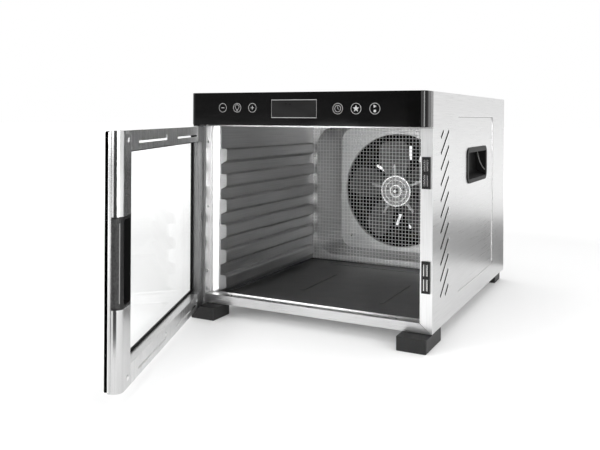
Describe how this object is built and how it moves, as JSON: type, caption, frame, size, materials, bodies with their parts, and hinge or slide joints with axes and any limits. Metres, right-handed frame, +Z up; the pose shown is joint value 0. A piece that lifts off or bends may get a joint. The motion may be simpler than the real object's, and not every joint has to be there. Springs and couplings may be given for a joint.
{
  "type": "food dehydrator",
  "caption": "Countertop food dehydrator: steel cabinet with tray rails, hinged glass door, rear convection fan and top control bar.",
  "frame": {"origin": "centre of the cabinet's footprint on the worktop, at the plane of the feet's soles", "axes": "+X to the user's right, +Y from the door towards the rear panel, +Z up"},
  "size_m": [0.3477, 0.7503, 0.314],
  "materials": {
    "brushed_steel": "brushed",
    "cavity_steel": "satin",
    "wire_steel": "bright",
    "zinc_steel": "zinc plated",
    "fan_steel": "satin",
    "hub_metal": "cast satin",
    "dark_tray": "dark non-stick coat",
    "bright_fixings": "polished",
    "black_gloss": "gloss",
    "grey_trim": "satin",
    "black_plastic": "fine texture",
    "grip_rubber": "ribbed soft touch",
    "foot_rubber": "matt",
    "gasket_rubber": "matt",
    "smoked_lens": "gloss",
    "display": "gloss",
    "clear_glass": "clear tempered",
    "border_black": "gloss enamel",
    "circuit_board": "solder mask",
    "components": "moulded",
    "lamination": "stacked laminations",
    "copper_winding": "enamelled wire",
    "heater_sheath": "heat tinted",
    "magnet": "ferrite"
  },
  "bodies": {
    "cabinet": {"side_panel_right": "brushed_steel", "side_panel_left": "brushed_steel", "top_panel": "brushed_steel", "base_plate": "zinc_steel", "rear_panel": "brushed_steel", "panel_screws": "bright_fixings", "mains_inlet": "black_plastic", "inlet_pins": "bright_fixings", "handle_cup_right": "black_plastic", "handle_cup_left": "black_plastic", "feet": "foot_rubber", "foot_screws": "bright_fixings", "frame_left": "brushed_steel", "frame_right": "brushed_steel", "frame_bottom": "brushed_steel", "frame_top": "brushed_steel", "frame_rivets": "bright_fixings", "catch_housings": "black_plastic", "catch_pole_plates": "bright_fixings", "catch_magnets": "magnet", "fascia": "black_gloss", "fascia_trim": "grey_trim", "display_window": "smoked_lens", "display_module": "display", "control_board": "circuit_board", "board_posts": "bright_fixings", "power_board": "circuit_board", "power_components": "components", "rail_wall_right": "cavity_steel", "rail_wall_left": "cavity_steel", "cavity_ceiling": "cavity_steel", "cavity_floor": "cavity_steel", "drip_tray": "dark_tray", "guard_frame": "cavity_steel", "guard_wires": "wire_steel", "fan_shroud": "cavity_steel", "thermal_cutout": "components", "temperature_probe": "bright_fixings", "heater_element": "heater_sheath", "motor_bracket": "zinc_steel", "motor_stator": "lamination", "motor_coil": "copper_winding", "motor_end_plates": "zinc_steel", "hinge_bracket_lower": "zinc_steel", "hinge_bracket_upper": "zinc_steel", "hinge_pins": "bright_fixings"},
    "door": {"door_inner_frame": "brushed_steel", "door_column": "brushed_steel", "door_grip": "grip_rubber", "door_grip_pocket": "black_plastic", "door_subframe": "border_black", "door_gasket": "gasket_rubber", "door_glass": "clear_glass", "door_rivets": "bright_fixings", "door_hinge_bushes": "black_plastic"},
    "fan": {"fan_blades": "fan_steel", "fan_hub": "hub_metal", "fan_nut": "zinc_steel", "fan_shaft": "bright_fixings", "motor_rotor": "lamination"}
  },
  "joints": [
    {"name": "door_hinge", "type": "hinge", "parent": "cabinet", "child": "door", "pos_m": [-0.1655, -0.221, 0.143], "axis": [0, 0, -1], "range_deg": [-68, 47]},
    {"name": "fan_spin", "type": "hinge", "parent": "cabinet", "child": "fan", "pos_m": [0, 0.1488, 0.1525], "axis": [0, -1, 0], "continuous": true}
  ]
}
